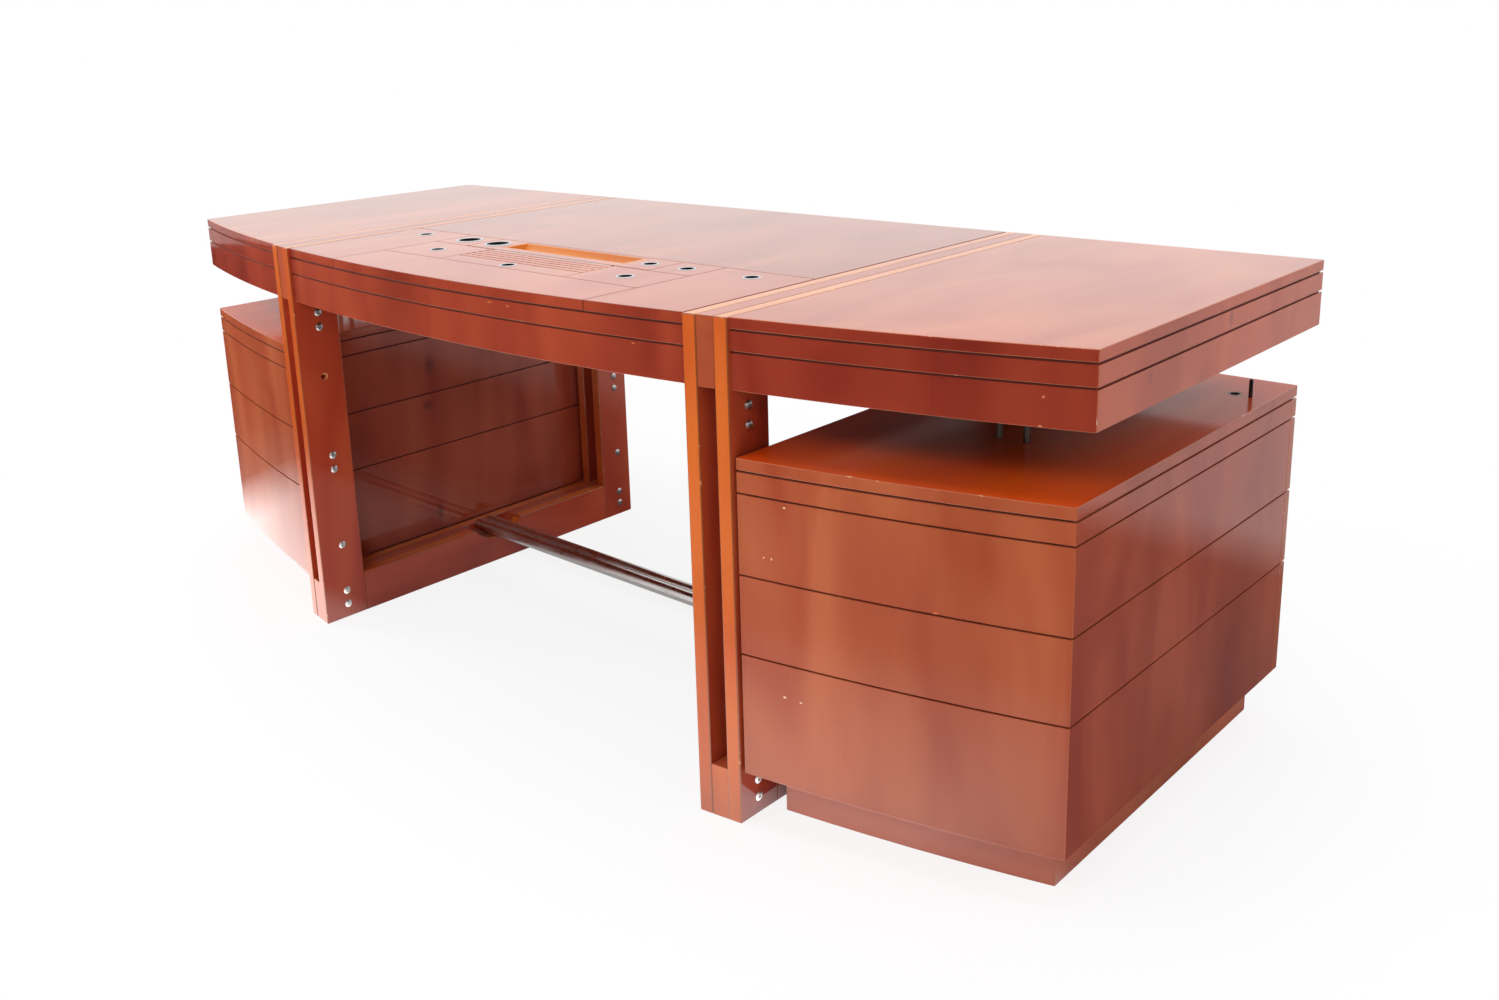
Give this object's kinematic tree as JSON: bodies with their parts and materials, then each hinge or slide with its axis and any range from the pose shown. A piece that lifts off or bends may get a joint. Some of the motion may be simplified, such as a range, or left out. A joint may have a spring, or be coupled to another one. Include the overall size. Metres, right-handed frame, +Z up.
{
  "type": "executive desk",
  "caption": "Bow-front executive desk on slotted leg frames, with wings over drawer pedestals, cable ports, a slatted lid and lift-out covers.",
  "frame": {"origin": "centre of the desk's footprint on the floor", "axes": "+X along the length, to the right seen from the visitor's bowed side; +Y towards the user; +Z up"},
  "size_m": [2.1, 0.8599, 0.7516],
  "materials": {
    "lacquered_cherry": "glossy red lacquer",
    "honey_wood": "satin clear lacquer",
    "drawer_wood": "clear sealed birch",
    "well_board": "dark stained board",
    "chrome_steel": "polished",
    "bolt_steel": "satin",
    "bright_ring": "polished",
    "black_port": "glossy",
    "black_metal": "glossy"
  },
  "bodies": {
    "desk": {"frame_fillers": "lacquered_cherry", "frame_bolts": "bolt_steel", "stretcher_tubes": "chrome_steel", "front_apron": "lacquered_cherry", "rear_apron": "lacquered_cherry", "wing_soffits": "lacquered_cherry", "pedestal_floors": "lacquered_cherry", "pedestal_plinths": "lacquered_cherry", "pedestal_fascias": "lacquered_cherry", "drawer_runners": "drawer_wood", "wing_posts": "chrome_steel", "pedestal_pin": "black_metal", "writing_panel": "lacquered_cherry", "bow_strip": "lacquered_cherry", "side_panels": "lacquered_cherry", "tray_panel": "lacquered_cherry", "port_tiles": "lacquered_cherry", "pen_tray": "honey_wood", "cable_rings": "bright_ring", "cable_ports": "black_port", "hinge_fixed_leaf": "bolt_steel", "hatch_wells": "well_board", "left_front_posts": "lacquered_cherry", "left_rear_posts": "lacquered_cherry", "left_foot_rails": "lacquered_cherry", "left_top_rails": "lacquered_cherry", "left_wing_top": "lacquered_cherry", "left_wing_aprons": "lacquered_cherry", "left_pedestal_top": "lacquered_cherry", "left_pedestal_sides": "lacquered_cherry", "left_pedestal_bow_panel": "lacquered_cherry", "right_front_posts": "lacquered_cherry", "right_rear_posts": "lacquered_cherry", "right_foot_rails": "lacquered_cherry", "right_top_rails": "lacquered_cherry", "right_wing_top": "lacquered_cherry", "right_wing_aprons": "lacquered_cherry", "right_pedestal_top": "lacquered_cherry", "right_pedestal_sides": "lacquered_cherry", "right_pedestal_bow_panel": "lacquered_cherry"},
    "lid": {"slatted_lid": "lacquered_cherry", "lid_ring": "bright_ring", "hinge_lid_leaf": "bolt_steel"},
    "left_cover": {"left_cover": "lacquered_cherry", "left_cover_ring": "bright_ring"},
    "right_cover": {"right_cover": "lacquered_cherry", "right_cover_ring": "bright_ring"},
    "left_upper_drawer": {"left_upper_drawer_front": "lacquered_cherry", "left_upper_drawer_box": "drawer_wood"},
    "left_middle_drawer": {"left_middle_drawer_front": "lacquered_cherry", "left_middle_drawer_box": "drawer_wood"},
    "left_lower_drawer": {"left_lower_drawer_front": "lacquered_cherry", "left_lower_drawer_box": "drawer_wood"},
    "right_upper_drawer": {"right_upper_drawer_front": "lacquered_cherry", "right_upper_drawer_box": "drawer_wood"},
    "right_middle_drawer": {"right_middle_drawer_front": "lacquered_cherry", "right_middle_drawer_box": "drawer_wood"},
    "right_lower_drawer": {"right_lower_drawer_front": "lacquered_cherry", "right_lower_drawer_box": "drawer_wood"}
  },
  "joints": [
    {"name": "lid_hinge", "type": "hinge", "parent": "desk", "child": "lid", "pos_m": [0, -0.1965, 0.7475], "axis": [-1, 0, 0], "range_deg": [0, 90]},
    {"name": "left_cover_lift", "type": "slide", "parent": "desk", "child": "left_cover", "axis": [0, 0, 1], "range_m": [0, 0.1]},
    {"name": "left_upper_drawer_slide", "type": "slide", "parent": "desk", "child": "left_upper_drawer", "axis": [0, 1, 0], "range_m": [0, 0.45]},
    {"name": "left_middle_drawer_slide", "type": "slide", "parent": "desk", "child": "left_middle_drawer", "axis": [0, 1, 0], "range_m": [0, 0.45]},
    {"name": "left_lower_drawer_slide", "type": "slide", "parent": "desk", "child": "left_lower_drawer", "axis": [0, 1, 0], "range_m": [0, 0.45]},
    {"name": "right_cover_lift", "type": "slide", "parent": "desk", "child": "right_cover", "axis": [0, 0, 1], "range_m": [0, 0.1]},
    {"name": "right_upper_drawer_slide", "type": "slide", "parent": "desk", "child": "right_upper_drawer", "axis": [0, 1, 0], "range_m": [0, 0.45]},
    {"name": "right_middle_drawer_slide", "type": "slide", "parent": "desk", "child": "right_middle_drawer", "axis": [0, 1, 0], "range_m": [0, 0.45]},
    {"name": "right_lower_drawer_slide", "type": "slide", "parent": "desk", "child": "right_lower_drawer", "axis": [0, 1, 0], "range_m": [0, 0.45]}
  ]
}
